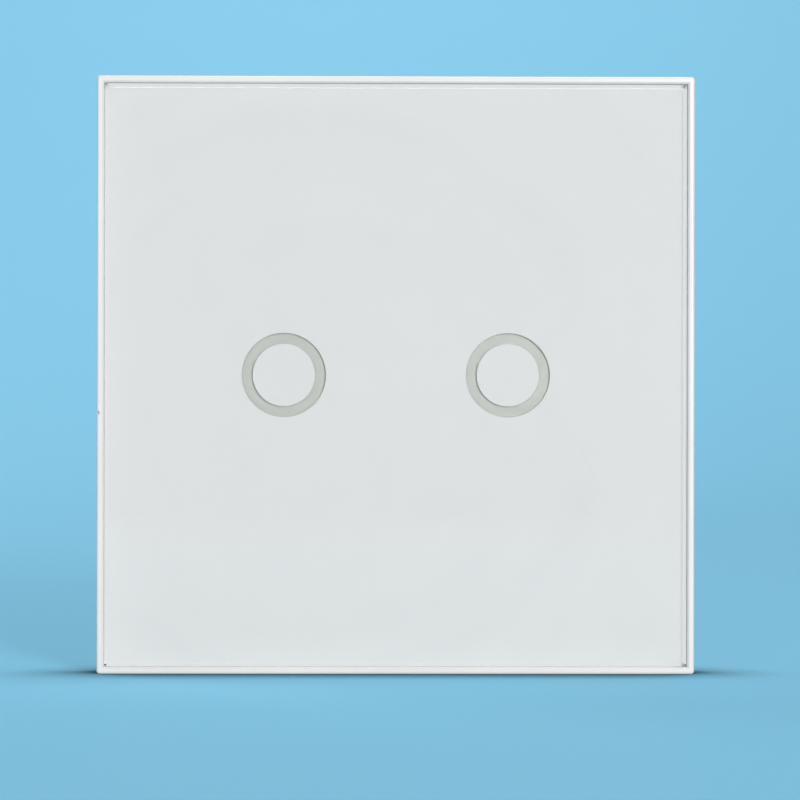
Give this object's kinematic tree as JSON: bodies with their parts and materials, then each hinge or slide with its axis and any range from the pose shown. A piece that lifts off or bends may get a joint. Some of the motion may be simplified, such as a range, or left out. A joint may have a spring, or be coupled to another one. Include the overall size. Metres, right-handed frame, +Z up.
{
  "type": "in-wall smart switch",
  "caption": "Square glass-faced touch light switch with ringed touch keys, pull-off face plate, wall-box module with relays and rising-clamp terminals.",
  "frame": {"origin": "centre of the two wall-screw slots, on the rear face of the base plate, which is the wall's face", "axes": "+X to the right and +Z up as seen by a person facing the glass; the glass faces -Y and the rear housing goes into the wall along +Y"},
  "size_m": [0.086, 0.036, 0.086],
  "materials": {
    "white_abs": "moulded, satin",
    "clear_glass": "toughened, polished bevel",
    "white_film": "screen-printed white",
    "foam_tape": "foam tape",
    "base_plastic": "moulded, fine spark texture",
    "grey_plastic": "moulded",
    "blue_plastic": "moulded",
    "yellow_plastic": "moulded",
    "light_guide": "milky translucent",
    "spring_steel": "drawn and plated",
    "zinc_steel": "zinc plated",
    "tin_plate": "tinned",
    "soft_iron": "nickel plated",
    "brass": "stamped",
    "white_board": "white solder mask",
    "green_board": "green solder mask",
    "black_resin": "moulded",
    "led_resin": "clear resin over phosphor",
    "ferrite": "sintered",
    "winding_tape": "polyester tape",
    "can_sleeve": "shrunk sleeve",
    "ceramic_tube": "glazed tube",
    "blue_coating": "dipped epoxy"
  },
  "bodies": {
    "base": {"base_plate": "base_plastic", "rear_housing": "base_plastic", "module_cover": "white_abs", "housing_screws": "zinc_steel", "board_screws": "zinc_steel", "light_guide_left": "light_guide", "light_guide_right": "light_guide", "touch_spring_left": "spring_steel", "touch_spring_right": "spring_steel", "touch_board": "white_board", "touch_chip": "black_resin", "status_leds": "led_resin", "radio_board": "green_board", "radio_shield": "tin_plate", "pin_header": "black_resin", "header_socket": "black_resin", "power_board": "green_board", "terminal_block": "grey_plastic", "contact_bars": "brass", "relay_case_left": "blue_plastic", "relay_base_left": "blue_plastic", "relay_coil_left": "winding_tape", "relay_core_left": "soft_iron", "relay_yoke_left": "soft_iron", "relay_contact_left": "brass", "relay_case_right": "blue_plastic", "relay_base_right": "blue_plastic", "relay_coil_right": "winding_tape", "relay_core_right": "soft_iron", "relay_yoke_right": "soft_iron", "relay_contact_right": "brass", "transformer_core": "ferrite", "transformer_winding": "winding_tape", "smoothing_capacitors": "can_sleeve", "suppression_capacitor": "yellow_plastic", "bridge_rectifier": "black_resin", "fuse": "ceramic_tube", "varistor": "blue_coating", "choke": "ferrite"},
    "face_plate": {"panel_frame": "white_abs", "glass_panel": "clear_glass", "mask_film": "white_film", "adhesive_pad": "foam_tape", "panel_clips": "spring_steel"},
    "armature_left": {"relay_armature_left": "soft_iron"},
    "armature_right": {"relay_armature_right": "soft_iron"},
    "screw_1": {"clamp_screw_1": "zinc_steel"},
    "cage_1": {"clamp_cage_1": "tin_plate"},
    "screw_2": {"clamp_screw_2": "zinc_steel"},
    "cage_2": {"clamp_cage_2": "tin_plate"},
    "screw_3": {"clamp_screw_3": "zinc_steel"},
    "cage_3": {"clamp_cage_3": "tin_plate"},
    "screw_4": {"clamp_screw_4": "zinc_steel"},
    "cage_4": {"clamp_cage_4": "tin_plate"}
  },
  "joints": [
    {"name": "face_plate_pull", "type": "slide", "parent": "base", "child": "face_plate", "axis": [0, -1, 0], "range_m": [0, 0.03], "deforming": ["panel_clips"]},
    {"name": "armature_left_close", "type": "hinge", "parent": "base", "child": "armature_left", "pos_m": [-0.0174, 0.02115, -0.0076], "axis": [0, 0, -1], "range_deg": [0, 4], "stiffness_Nm_per_rad": 0.02},
    {"name": "armature_right_close", "type": "hinge", "parent": "base", "child": "armature_right", "pos_m": [0.002, 0.02115, -0.0076], "axis": [0, 0, -1], "range_deg": [0, 4], "stiffness_Nm_per_rad": 0.02},
    {"name": "clamp_screw_1_turn", "type": "hinge", "parent": "base", "child": "screw_1", "pos_m": [-0.0135, 0.02, -0.0225], "axis": [0, -1, 0], "range_deg": [0, 1800]},
    {"name": "clamp_cage_1_rise", "type": "slide", "parent": "base", "child": "cage_1", "axis": [0, 1, 0], "range_m": [0, 0.0025]},
    {"name": "clamp_screw_2_turn", "type": "hinge", "parent": "base", "child": "screw_2", "pos_m": [-0.0045, 0.02, -0.0225], "axis": [0, -1, 0], "range_deg": [0, 1800]},
    {"name": "clamp_cage_2_rise", "type": "slide", "parent": "base", "child": "cage_2", "axis": [0, 1, 0], "range_m": [0, 0.0025]},
    {"name": "clamp_screw_3_turn", "type": "hinge", "parent": "base", "child": "screw_3", "pos_m": [0.0045, 0.02, -0.0225], "axis": [0, -1, 0], "range_deg": [0, 1800]},
    {"name": "clamp_cage_3_rise", "type": "slide", "parent": "base", "child": "cage_3", "axis": [0, 1, 0], "range_m": [0, 0.0025]},
    {"name": "clamp_screw_4_turn", "type": "hinge", "parent": "base", "child": "screw_4", "pos_m": [0.0135, 0.02, -0.0225], "axis": [0, -1, 0], "range_deg": [0, 1800]},
    {"name": "clamp_cage_4_rise", "type": "slide", "parent": "base", "child": "cage_4", "axis": [0, 1, 0], "range_m": [0, 0.0025]}
  ],
  "couplings": [
    {"joint": "clamp_screw_1_turn", "follows": "clamp_cage_1_rise", "rad_per_m": 12566},
    {"joint": "clamp_screw_2_turn", "follows": "clamp_cage_2_rise", "rad_per_m": 12566},
    {"joint": "clamp_screw_3_turn", "follows": "clamp_cage_3_rise", "rad_per_m": 12566},
    {"joint": "clamp_screw_4_turn", "follows": "clamp_cage_4_rise", "rad_per_m": 12566}
  ]
}
